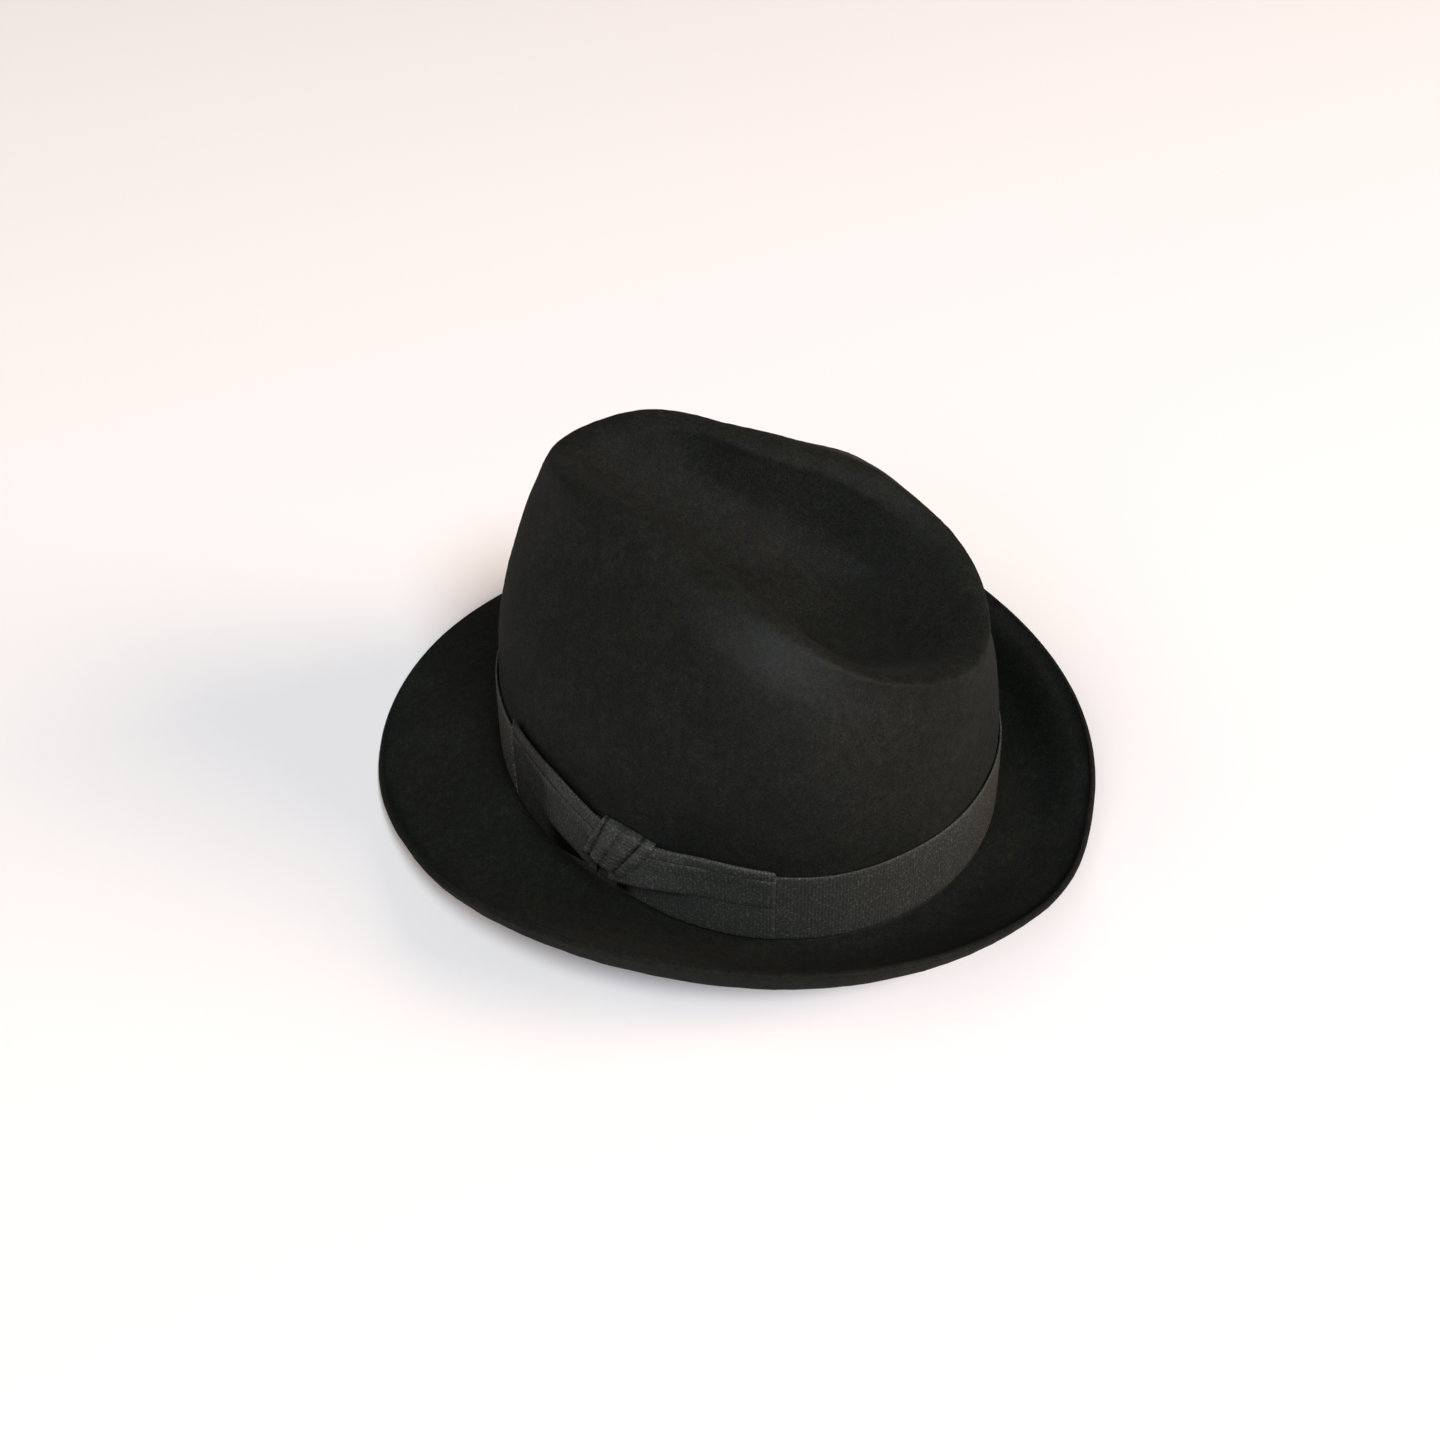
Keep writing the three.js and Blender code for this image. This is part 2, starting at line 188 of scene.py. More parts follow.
# The bow's leaves by angle. low and high are the heights of the two edges above the crown's
# foot, out and top_out how far they stand off the felt. Towards the knot each leaf is gathered
# in a pleat that opens along slit: the part above stands out by lift, and laps by tuck.
BACK_LEAF = [
    {"at": 61, "low": 2.2, "high": 35.2, "out": 1.35, "top_out": 1.5, "slit": 19.5,
     "tuck": 0.0, "lift": 0.1},
    {"at": 68, "low": 1.9, "high": 36.4, "out": 1.35, "top_out": 1.7, "slit": 19.5,
     "tuck": 0.0, "lift": 0.1},
    {"at": 76, "low": 1.9, "high": 36.8, "out": 1.35, "top_out": 1.9, "slit": 19.5,
     "tuck": 0.2, "lift": 0.5},
    {"at": 82, "low": 2.2, "high": 35.4, "out": 1.40, "top_out": 2.1, "slit": 19.4,
     "tuck": 1.8, "lift": 2.8},
    {"at": 89, "low": 4.0, "high": 33.6, "out": 1.90, "top_out": 2.3, "slit": 17.6,
     "tuck": 2.6, "lift": 4.4},
    {"at": 95, "low": 6.2, "high": 33.2, "out": 2.60, "top_out": 2.4, "slit": 15.4,
     "tuck": 2.4, "lift": 4.6},
]
FRONT_LEAF = [
    {"at": 98, "low": 10.0, "high": 33.6, "out": 1.40, "top_out": 2.4, "slit": 13.8,
     "tuck": 2.6, "lift": 5.0},
    {"at": 104, "low": 6.5, "high": 36.4, "out": 1.35, "top_out": 2.3, "slit": 18.2,
     "tuck": 2.6, "lift": 4.8},
    {"at": 110, "low": 3.2, "high": 38.8, "out": 1.35, "top_out": 2.2, "slit": 18.4,
     "tuck": 2.0, "lift": 3.4},
    {"at": 114, "low": 2.0, "high": 39.4, "out": 1.35, "top_out": 2.1, "slit": 18.4,
     "tuck": 0.6, "lift": 2.0},
    {"at": 121, "low": 2.0, "high": 39.6, "out": 1.35, "top_out": 1.9, "slit": 18.6,
     "tuck": 0.0, "lift": 0.3},
    {"at": 130, "low": 2.0, "high": 39.6, "out": 1.35, "top_out": 1.7, "slit": 18.6,
     "tuck": 0.0, "lift": 0.1},
]
# The knot by angle at half its height; lean is how much further to the front its foot lies,
# curl how far its foot is curled up off the leaves
KNOT = [
    {"at": 88.9, "lean": 2.4, "low": 18.4, "high": 33.6, "low_out": 4.9, "high_out": 2.6, "curl": 0.5},
    {"at": 91.4, "lean": 2.3, "low": 18.4, "high": 34.6, "low_out": 6.1, "high_out": 3.2, "curl": 1.0},
    {"at": 94.4, "lean": 2.2, "low": 18.2, "high": 35.2, "low_out": 6.5, "high_out": 3.3, "curl": 3.0},
    {"at": 97.4, "lean": 2.1, "low": 17.8, "high": 35.4, "low_out": 6.2, "high_out": 3.1, "curl": 5.0},
    {"at": 100.4, "lean": 2.0, "low": 17.0, "high": 35.2, "low_out": 5.3, "high_out": 2.6, "curl": 5.5},
]
# Creases that run up the knot: where across it, how far each moves sideways towards the top
KNOT_CREASES = [
    {"at": 0.3, "spread": -0.1, "deep": 1.5, "wide": 0.035},
    {"at": 0.58, "spread": 0.02, "deep": 0.7, "wide": 0.05},
    {"at": 0.84, "spread": 0.1, "deep": 1.5, "wide": 0.03},
]
# Frayed threads at the leaves' cut ends: way is the side that they point to
THREADS = [
    {"at": 130, "way": 1, "low": 3, "high": 39.5, "count": 110, "long": 1.6},
    {"at": 61, "way": -1, "low": 31, "high": 35, "count": 9, "long": 0.8},
]
THREAD = 0.1
THREAD_STEPS = [0, 0.35, 0.7, 1.0]
# At the bow one degree round the hat is this long
MM_PER_DEGREE = 1.45
LEAF_RIBBON = 0.5
KNOT_RIBBON = 0.6
# A leaf's outer end is a flattened fold, rolled down to this height within this length
ROLLED_OUT = 1.3
ROLL = 1.6
# From here on, in degrees, the back leaf lies under the knot and gets painted shade below its slit, and
# the front leaf gets darker painted shade
UNDER_KNOT_AT = 90.5
FRONT_DARK_AT = 113
LEAF_ROWS = 56
KNOT_COLUMNS = 48

# The ribbon's selvedges are half as thick, and each rib reaches past them by a part of its depth
SELVEDGE_THICK = 0.5
SELVEDGE_REACH = 0.8
# Places across the ribbon between its selvedges; beside them it is a little thinner
RIBBON_PLACES = [0.012, 0.05, 0.2, 0.35, 0.5, 0.65, 0.8, 0.95, 0.988]
BESIDE_SELVEDGE = 0.92
PER_RIB = 4


def linear(hex_colour):
    """An sRGB hex value as linear red, green and blue."""
    parts = [int(hex_colour[i:i + 2], 16) / 255 for i in (1, 3, 5)]
    return [c / 12.92 if c <= 0.04045 else ((c + 0.055) / 1.055) ** 2.4 for c in parts]


class TrilbySizes(bpy.types.PropertyGroup):
    """Sizes that a user may change."""

    nap_depth: FloatProperty(
        name="Nap depth", description="How uneven the brushed felt is",
        default=0.00012, min=0, max=0.001, unit="LENGTH")
    rib_spacing: FloatProperty(
        name="Rib spacing", description="From one cross rib of the ribbon to the next",
        default=0.0012, min=0.0004, max=0.004, unit="LENGTH")
    rib_depth: FloatProperty(
        name="Rib depth", description="How far a cross rib stands out of the ribbon",
        default=0.00016, min=0, max=0.0005, unit="LENGTH")
    ribbon_thickness: FloatProperty(
        name="Ribbon thickness", description="Thickness of the band's ribbon",
        default=0.0009, min=0.0003, max=0.002, unit="LENGTH")


class TrilbyColours(bpy.types.PropertyGroup):
    """Colours that a user may change, kept as linear values."""

    felt: FloatVectorProperty(
        name="Felt", description="Colour of the dyed wool", subtype="COLOR", size=3,
        min=0, max=1, default=linear("#131412"))
    felt_light: FloatVectorProperty(
        name="Felt fibres", description="Lighter wool fibres in the felt", subtype="COLOR",
        size=3, min=0, max=1, default=linear("#333326"))
    ribbon: FloatVectorProperty(
        name="Ribbon", description="Colour of the ribbon", subtype="COLOR", size=3,
        min=0, max=1, default=linear("#31322e"))
    floor: FloatVectorProperty(
        name="Floor", description="Colour of the floor", subtype="COLOR", size=3,
        min=0, max=1, default=linear("#fbf7f4"))


def blend(a, b, c, d, part):
    """Catmull-Rom blend between b and c."""
    rise = (c - a) * part
    bend = (2 * a - 5 * b + 4 * c - d) * part ** 2
    turn = (3 * b - a - 3 * c + d) * part ** 3
    return 0.5 * (2 * b + rise + bend + turn)


def around(table, column, angles):
    """A smooth value between the rows of a table whose left side is mirrored to the right."""
    values = [row[column] for row in table]
    ring = np.array(values + values[-2:0:-1], float)
    place = np.asarray(angles, float) / (2 * math.pi) * len(ring)
    first = np.floor(place).astype(int)
    a, b, c, d = (ring[(first + step) % len(ring)] for step in (-1, 0, 1, 2))
    return blend(a, b, c, d, place - first)


def foot_oval(angles):
    """The foot of the crown: distance from the middle, and the direction east and north."""
    x = HALF_WIDTH * np.sin(angles) * (1 + EGG * np.cos(angles))
    y = HALF_LENGTH * np.cos(angles)
    radius = np.hypot(x, y)
    return radius, x / radius, y / radius


def guide_lines(angles):
    """The guide points of the sections, from the brim's edge to the middle of the hollow."""
    brim = {name: around(BRIM, name, angles) for name in BRIM[0]}
    crown = {name: around(CROWN, name, angles) for name in CROWN[0]}
    drop = RIGHT_DROP * ((1 + np.cos(angles - math.radians(DROP_AT))) / 2) ** 2
    crown["shoulder_z"] = crown["shoulder_z"] - drop
    crown["crest_z"] = crown["crest_z"] - drop
    radius = foot_oval(angles)[0]
    foot = brim["foot"]
    edge = radius + brim["reach"]
    rise = brim["rise"] + LEFT_LIFT * np.sin(angles) + TWIST_LIFT * np.sin(2 * angles)
    softness = ((1 + np.cos(angles - math.radians(LIP_AT))) / 2) ** 2.5
    lip_up = brim["lip_up"] * (1 - LIP_FLAT * softness)
    lip_in = brim["lip_in"] + LIP_EASE * softness
    lip_foot = rise - lip_up
    band_top = foot + BAND_HIGH + 2

    def spot(r, z):
        return np.stack(np.broadcast_arrays(r, z), axis=-1)

    upper = spot(crown["upper_r"], crown["upper_z"])
    shoulder = spot(crown["shoulder_r"], crown["shoulder_z"])
    side = spot(crown["side_r"], crown["side_z"])

    under = shoulder + (upper - shoulder) * UNDER_SHOULDER
    under[:, 0] -= crown["pinch"]
    arch_out = spot(crown["crest_r"] + ARCH_OUT * crown["soft"], crown["crest_z"])
    arch_in = spot(crown["crest_r"] - ARCH_IN * crown["soft"], crown["crest_z"])
    down = np.linalg.norm(side - arch_in, axis=-1)
    rounding = np.minimum(ROUND_DOWN * crown["soft"] / down, ROUND)
    inner = arch_in + (side - arch_in) * rounding[:, None]
    roll = (arch_out + shoulder) / 2
    roll[:, 1] += crown["puff"]
    return np.stack([
        spot(edge, rise),
        spot(edge - 0.1 * lip_in, rise - 0.6 * lip_up),
        spot(edge - lip_in, lip_foot),
        spot(radius + brim["reach"] / 2, foot + (lip_foot - foot) * brim["sag"]),
        spot(radius + brim["flat"], foot + 0.1),
        spot(radius + BREAK, foot),
        spot(radius, foot),
        spot(radius, foot + BREAK),
        spot(radius - TAPER / 3, foot + BAND_HIGH / 2),
        spot(radius - TAPER, band_top),
        spot(radius * crown["wall"], (band_top + crown["upper_z"]) / 2),
        upper,
        under,
        shoulder,
        roll,
        arch_out,
        arch_in,
        inner,
        side,
        spot(crown["side_r"] / 2, crown["floor_z"]),
        spot(np.zeros_like(radius), FLOOR_MIDDLE),
    ], axis=1)


def smooth_lines(guides, steps):
    """A smooth line along each guide: one parabola at each inner point of the guide."""
    count = guides.shape[1]
    lines = [guides[:, 0]]
    for i in range(1, count - 1):
        start = guides[:, 0] if i == 1 else (guides[:, i - 1] + guides[:, i]) / 2
        end = guides[:, -1] if i == count - 2 else (guides[:, i] + guides[:, i + 1]) / 2
        for step in range(1, steps + 1):
            u = step / steps
            lines.append((1 - u) ** 2 * start + 2 * u * (1 - u) * guides[:, i] + u ** 2 * end)
    return np.stack(lines, axis=1)


def in_space(angles, distance, height):
    """Points from angles, distances from the head opening's middle and heights."""
    _, east, north = foot_oval(angles)
    return np.stack([distance * east, distance * north + OPENING_BACK, height], axis=-1)


def wall_table():
    """How far the felt wall is from the middle, by angle and by height above the foot."""
    angles = np.linspace(0, 2 * math.pi, WALL_ANGLES, endpoint=False)
    foot = around(BRIM, "foot", angles)
    lines = smooth_lines(guide_lines(angles), FELT_STEPS)[:, FOOT_ROW * FELT_STEPS:]
    table = np.empty((WALL_ANGLES, len(WALL_HEIGHTS)))
    for i, line in enumerate(lines):
        top = int(np.argmax(line[:, 1]))
        table[i] = np.interp(foot[i] + WALL_HEIGHTS, line[:top + 1, 1], line[:top + 1, 0])
    return table


# The wall is looked up in a table of its own, from the guide point at the crown's foot upward
FOOT_ROW = 6
WALL_ANGLES = 1440
WALL_HEIGHTS = np.linspace(-1, 44, 91)
WALL = wall_table()


def wall_distance(angles, heights):
    """How far the felt wall is from the middle, at angles and heights above the crown's foot."""
    across = np.asarray(angles, float) / (2 * math.pi) * WALL_ANGLES
    up = (np.asarray(heights, float) - WALL_HEIGHTS[0]) / (WALL_HEIGHTS[1] - WALL_HEIGHTS[0])
    up = np.clip(up, 0, len(WALL_HEIGHTS) - 1.001)
    i, j = np.floor(across).astype(int), np.floor(up).astype(int)
    u, v = across - i, up - j
    i, n = i % WALL_ANGLES, (i + 1) % WALL_ANGLES
    low = WALL[i, j] * (1 - u) + WALL[n, j] * u
    high = WALL[i, j + 1] * (1 - u) + WALL[n, j + 1] * u
    return low * (1 - v) + high * v


def off_the_wall(angles, heights, out):
    """Points that stand off the felt wall."""
    angles, heights, out = np.broadcast_arrays(angles, heights, out)
    distance = wall_distance(angles, heights) + out
    return in_space(angles, distance, around(BRIM, "foot", angles) + heights)


def put_in_scene(name, data):
    """A new object in the scene."""
    item = bpy.data.objects.new(name, data)
    bpy.context.scene.collection.objects.link(item)
    return item


def make_mesh(name, points, faces, body=ROOT):
    """A smooth mesh object from points in millimetres, riding on a body."""
    mesh = bpy.data.meshes.new(name)
    mesh.from_pydata((np.asarray(points) * MM).tolist(), [], faces)
    mesh.validate()
    mesh.shade_smooth()
    piece = put_in_scene(name, mesh)
    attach(piece, body)
    return piece


def skin(rows, loop=False):
    """Points and faces of a closed surface through rows that each go round. A row of one
    point closes an end; with loop, the last row joins the first."""
    points = np.concatenate(rows)
    starts = np.cumsum([0] + [len(row) for row in rows])
    faces = []
    pairs = len(rows) if loop else len(rows) - 1
    for j in range(pairs):
        k = (j + 1) % len(rows)
        count = max(len(rows[j]), len(rows[k]))
        for i in range(count):
            n = (i + 1) % count
            low = [starts[j]] if len(rows[j]) == 1 else [starts[j] + i, starts[j] + n]
            high = [starts[k]] if len(rows[k]) == 1 else [starts[k] + n, starts[k] + i]
            faces.append([int(v) for v in low + high])
    return points, faces_out(points, faces)


def faces_out(points, faces):
    """The faces turned so that they face out of the body."""
    volume = 0.0
    for face in faces:
        a = points[face[0]]
        for i in range(1, len(face) - 1):
            volume += np.dot(a, np.cross(points[face[i]], points[face[i + 1]]))
    return faces if volume > 0 else [face[::-1] for face in faces]


def felt_normals(grid):
    """The grid's normals, pointing out of the felt's upper face."""
    along = np.roll(grid, -1, axis=1) - np.roll(grid, 1, axis=1)
    inward = np.gradient(grid, axis=0)
    normal = -np.cross(along, inward)
    normal[-1] = (0, 0, 1)
    return normal / np.maximum(np.linalg.norm(normal, axis=-1, keepdims=True), 1e-12)


def unevenness(grid, size, seed):
    """Smooth noise at each point of a grid, with lumps of about that size in millimetres."""
    away = Vector((seed * 13.7, seed * 5.3, seed * 9.1))
    flat = grid.reshape(-1, 3) / size
    values = [noise.noise(Vector(p) + away) for p in flat]
    return np.array(values).reshape(grid.shape[:-1])


def felt_grid(angles, steps):
    """The felt's upper face: a row for each place along the section, from edge to middle."""
    lines = smooth_lines(guide_lines(angles), steps)
    rows = [in_space(angles, lines[:, j, 0], lines[:, j, 1]) for j in range(lines.shape[1])]
    return np.stack(rows)


def side_degrees(angles):
    """Degrees from the back of the hat, counted alike on both sides, as one row."""
    turn = np.degrees(angles)
    return np.where(turn > 180, 360 - turn, turn)[None, :]


def guide_places(rows):
    """The place of each of the felt's rows among the guide points, as one column."""
    return np.arange(rows)[:, None] / FELT_STEPS


def pinch_step(angles, grid):
    """How far the back edge of the side pinches stands out or lies in, in millimetres."""
    turn = side_degrees(angles)
    height = grid[..., 2]
    edge = np.interp(height, [row["z"] for row in PINCH_EDGE], [row["at"] for row in PINCH_EDGE])
    off = turn - edge
    fade = np.exp(-(off / PINCH_FADE) ** 2)
    fade = fade * np.clip((height - PINCH_FOOT) / PINCH_RISE, 0, 1)
    fade = fade * np.clip((PINCH_TOP - height) / PINCH_END, 0, 1)
    outside = np.clip(CREST_ROW - guide_places(grid.shape[0]), 0, 1)
    ridge = PINCH_RIDGE * np.exp(-np.sqrt(off ** 2 + PINCH_BLUNT) / PINCH_REACH)
    return (ridge - PINCH_STEP * np.tanh(off / PINCH_WIDTH)) * fade * outside


def crest_crease(angles, rows):
    """How far the crease along the crest stands out, in millimetres."""
    turn = side_degrees(angles)
    reach = np.clip((turn - CREASE_FROM) / CREASE_IN, 0, 1)
    reach = reach * np.clip((CREASE_TO - turn) / CREASE_OUT, 0, 1)
    off = guide_places(rows) - CREASE_ROW
    return CREASE_HIGH * reach * np.exp(-(off / CREASE_WIDE) ** 2)


def polish(angles, rows):
    """How much hands have smoothed the nap: most on the shoulder behind each side pinch."""
    across = (side_degrees(angles) - POLISH_AT) / POLISH_WIDE
    along = (guide_places(rows) - POLISH_ROW) / POLISH_ROWS
    return np.exp(-across ** 2 - along ** 2)


def felt_body(sizes):
    """Crown and brim: one piece of felt, open below."""
    angles = np.linspace(0, 2 * math.pi, FELT_AROUND, endpoint=False)
    upper = felt_grid(angles, FELT_STEPS)
    normal = felt_normals(upper)
    nap = sizes.nap_depth / MM
    lumps = sum(row["high"] * unevenness(upper, row["size"], seed)
                for seed, row in enumerate(SWELLS, 1))
    grain = nap * sum(row["part"] * unevenness(upper, row["size"], seed)
                      for seed, row in enumerate(GRAIN, 3))
    # the edge of the brim is cut, so it is more even
    fade = np.ones(upper.shape[0])
    fade[0] = 0.6
    shift = (lumps + grain) * fade[:, None] + pinch_step(angles, upper)
    shift = shift + crest_crease(angles, upper.shape[0])
    shift[-1] = shift[-1].mean()
    face = upper + normal * shift[..., None]
    lower = face - normal * FELT
    # nothing sinks into the floor, and the upper face stays above the lower one
    lower[..., 2] = np.maximum(lower[..., 2], 0)
    face[..., 2] = np.maximum(face[..., 2], lower[..., 2] + 0.3)
    outward = face[0] - face[1]
    outward /= np.linalg.norm(outward, axis=-1, keepdims=True)
    cut = []
    for k in range(1, EDGE_ROWS + 1):
        part = k / (EDGE_ROWS + 1)
        swell = EDGE_SWELL * math.sin(math.pi * part) ** EDGE_BLUNT
        cut.append(face[0] * (1 - part) + lower[0] * part + outward * swell)
    rows = [face[-1][:1], *face[-2::-1], *cut, *lower[:-1], lower[-1][:1]]
    points, faces = skin(rows)
    points[:, 2] = np.maximum(points[:, 2], 0)
    piece = make_mesh("felt_blocked_body", points, faces)
    worn = polish(angles, face.shape[0])
    values = np.zeros(len(points))
    values[0] = worn[-1][0]
    values[1:1 + worn[:-1].size] = worn[-2::-1].ravel()
    piece.data.attributes.new("polish", "FLOAT", "POINT").data.foreach_set("value", values)
    return piece


def arc_angles(count):
    """Angles that divide the crown's foot into equal lengths, and its whole length."""
    fine = np.linspace(0, 2 * math.pi, 4001)
    radius, east, north = foot_oval(fine)
    steps = np.hypot(np.diff(radius * east), np.diff(radius * north))
    length = np.concatenate([[0], np.cumsum(steps)])
    wanted = np.linspace(0, length[-1], count, endpoint=False)
    return np.interp(wanted, length, fine), length[-1]


def ribbon_profile(low, high, thick, rib):
    """Heights and standing-off of a ribbon's section, going round it, for one rib phase."""
    reach = SELVEDGE_REACH * rib
    face = [(low - reach, thick * SELVEDGE_THICK)]
    for part in RIBBON_PLACES:
        thinner = BESIDE_SELVEDGE if part in (RIBBON_PLACES[0], RIBBON_PLACES[-1]) else 1.0
        face.append((low + (high - low) * part, thick * thinner + rib))
    face.append((high + reach, thick * SELVEDGE_THICK))
    back = [(low + (high - low) * part, 0.0) for part in (0.985, 0.5, 0.015)]
    return face + back


def ribbon_band(sizes):
    """The ribbon round the foot of the crown: a closed ring with cross ribs."""
    _, girth = arc_angles(8)
    ribs = round(girth / (sizes.rib_spacing / MM))
    angles, _ = arc_angles(ribs * PER_RIB)
    phase = 2 * math.pi * np.arange(len(angles)) / PER_RIB
    rib = sizes.rib_depth / MM * (0.5 + 0.5 * np.cos(phase)) - sizes.rib_depth / MM / 2
    thick = sizes.ribbon_thickness / MM
    # its two edges don't run quite straight round the crown
    wave_high = 0.3 * np.sin(5 * angles + 0.6) + 0.2 * np.sin(11 * angles + 2)
    wave_low = 0.2 * np.sin(4 * angles + 2.1)
    profiles = np.array([
        ribbon_profile(BAND_LOW + low, BAND_HIGH + high, thick, depth)
        for low, high, depth in zip(wave_low, wave_high, rib)
    ])
    rows = [off_the_wall(angles, profiles[:, j, 0], CLEAR + profiles[:, j, 1])
            for j in range(profiles.shape[1])]
    points, faces = skin(rows, loop=True)
    piece = make_mesh("ribbon_band_ribbed", points, faces)
    return piece


def along(table, column, places):
    """Smooth values between the rows of a bow table, at places from 0 to its last row."""
    values = np.array([row[column] for row in table], float)
    last = len(values) - 1
    first = np.minimum(np.floor(places).astype(int), last - 1)
    a, b, c, d = (values[np.clip(first + step, 0, last)] for step in (-1, 0, 1, 2))
    return blend(a, b, c, d, places - first)


def through(points, count):
    """A smooth line through few points, for all sections at once: (section, point, value)."""
    last = points.shape[1] - 1
    places = np.linspace(0, last, count)
    first = np.minimum(np.floor(places).astype(int), last - 1)
    a, b, c, d = (points[:, np.clip(first + step, 0, last)] for step in (-1, 0, 1, 2))
    return blend(a, b, c, d, (places - first)[None, :, None])


def cloth_strip(name, back, thick, shade):
    """A closed strip of cloth: its back face as a grid of points, and at each point its
    thickness and its painted shade, from 0 to 1; the back face gets full painted shade."""
    along_it = np.gradient(back, axis=0)
    across_it = np.gradient(back, axis=1)
    normal = np.cross(along_it, across_it)
    normal /= np.maximum(np.linalg.norm(normal, axis=-1, keepdims=True), 1e-9)
    middle = back.mean(axis=(0, 1)) - np.array([0, OPENING_BACK, back[..., 2].mean()])
    if (normal * middle).sum() < 0:
        normal = -normal
    face = back + normal * thick[..., None]
    length, width = back.shape[:2]
    points = np.concatenate([back.reshape(-1, 3), face.reshape(-1, 3)])
    other = length * width
    faces = []
    for i in range(length - 1):
        for j in range(width - 1):
            a, b = i * width + j, (i + 1) * width + j
            faces.append([a, a + 1, b + 1, b])
            faces.append([other + a, other + b, other + b + 1, other + a + 1])
        for j, turned in ((0, False), (width - 1, True)):
            a, b = i * width + j, (i + 1) * width + j
            rim = [a, b, other + b, other + a]
            faces.append(rim[::-1] if turned else rim)
    for i, turned in ((0, True), (length - 1, False)):
        for j in range(width - 1):
            a = i * width + j
            rim = [a, a + 1, other + a + 1, other + a]
            faces.append(rim[::-1] if turned else rim)
    piece = make_mesh(name, points, faces_out(points, faces))
    # painted shade: the back face fully shaded, the face as the shade grid says
    values = np.concatenate([np.ones(other), shade.ravel()])
    piece.data.attributes.new("painted_fold_shade", "FLOAT", "POINT").data.foreach_set("value", values)
    return piece


def lengths_along(line):
    """The length of a line up to each of its points."""
    return np.concatenate([[0], np.cumsum(np.linalg.norm(np.diff(line, axis=0), axis=1))])


def spots(height, out):
    """One point of each section: its heights beside its standing-off."""
    return np.stack(np.broadcast_arrays(height, out), axis=1)


def bow_leaf(name, table, sizes, end_first):
    """A leaf of the bow: folded ribbon, gathered in a pleat that opens towards the knot."""
    spacing = sizes.rib_spacing / MM
    # its length is measured 20 mm up the band and 2 mm off the felt
    rough = np.linspace(0, len(table) - 1, 200)
    rough_angles = np.radians(along(table, "at", rough))
    girth = lengths_along(off_the_wall(rough_angles, 20.0, 2.0))
    stations = max(int(girth[-1] / spacing * PER_RIB), 8)
    reach = np.linspace(0, girth[-1], stations)
    places = np.interp(reach, girth, rough)
    value = {column: along(table, column, places) for column in table[0]}
    low, high, slit = value["low"], value["high"], value["slit"]
    tuck, lift = np.maximum(value["tuck"], 0), np.maximum(value["lift"], 0.1)
    from_end = reach if end_first else girth[-1] - reach
    roll = np.sqrt(np.clip(1 - (1 - np.clip(from_end / ROLL, 0, 1)) ** 2, 0, 1))
    out, top_out = value["out"], value["top_out"]
    upper = high - slit
    # soft hand-folded unevenness along the leaf
    sway = 0.18 * np.sin(reach / 4.1 + 0.7) + 0.1 * np.sin(reach / 1.9)
    # heights and standing-off, from the lower edge up to the slit, round its lap and to the top
    section = np.stack([
        spots(low, out),
        spots(low + 0.35 * (slit - low), out + 0.1),
        spots(slit - 1.2 + 0.6 * tuck, out + 0.1),
        spots(slit - 0.4 + 1.2 * tuck, out + 0.15 + 0.1 * lift),
        spots(slit + tuck, out + 0.2 + 0.55 * lift),
        spots(slit + 0.2, out + 0.2 + lift),
        spots(slit + 2.2, out + 0.3 + lift * 1.02),
        spots(slit + 0.45 * upper, out + 0.3 + 0.75 * lift + sway),
        spots(slit + 0.72 * upper, top_out + 0.36 * lift + 0.3 + sway),
        spots(slit + 0.78 * upper, top_out + 0.26 * lift + 0.1),
        spots(slit + 0.84 * upper, top_out + 0.22 * lift + 0.35),
        spots(high - 0.4, top_out + 0.35 + 0.5 * sway),
        spots(high + 0.15 * np.sin(reach / 2.3), top_out - 0.35),
    ], axis=1)
    line = through(section, LEAF_ROWS)
    stand = ROLLED_OUT + (line[..., 1] - ROLLED_OUT) * roll[:, None]
    angles = np.radians(value["at"])[:, None]
    back = off_the_wall(angles, line[..., 0], stand)
    rib = sizes.rib_depth / MM * (0.5 + 0.5 * np.cos(2 * math.pi * reach / spacing))
    thick = LEAF_RIBBON + np.repeat(rib[:, None], LEAF_ROWS, axis=1)
    # the rolled end and the two long edges are thinner
    thick *= 0.35 + 0.65 * roll[:, None]
    thick[:, (0, -1)] *= 0.6
    # painted shade inside the pleat, which lies below its lap, where the section's points 2 to 4 are
    inside = np.linspace(0, section.shape[1] - 1, LEAF_ROWS)[None, :]
    deep = np.clip(lift / 2.5, 0, 1)[:, None]
    shade = deep * np.exp(-((inside - 2.9) / 1.1) ** 2)
    below = np.clip((3.4 - inside) / 0.8, 0, 1)
    degrees = value["at"][:, None]
    if end_first:
        # painted shade on the part below the slit, where it goes under the knot
        under_knot = np.clip((degrees - UNDER_KNOT_AT) / 2.5, 0, 1)
        shade = np.maximum(shade, under_knot * below * np.clip(inside / 0.6, 0, 1))
    else:
        # painted shade below the pleat's lap, and over the whole front leaf, darker past FRONT_DARK_AT
        # where it faces away from the lights
        shade = np.maximum(shade, deep * below)
        shade = np.maximum(shade, 0.25 + 0.27 * np.clip((degrees - FRONT_DARK_AT) / 2, 0, 1))
    return cloth_strip(name, back, thick, shade)


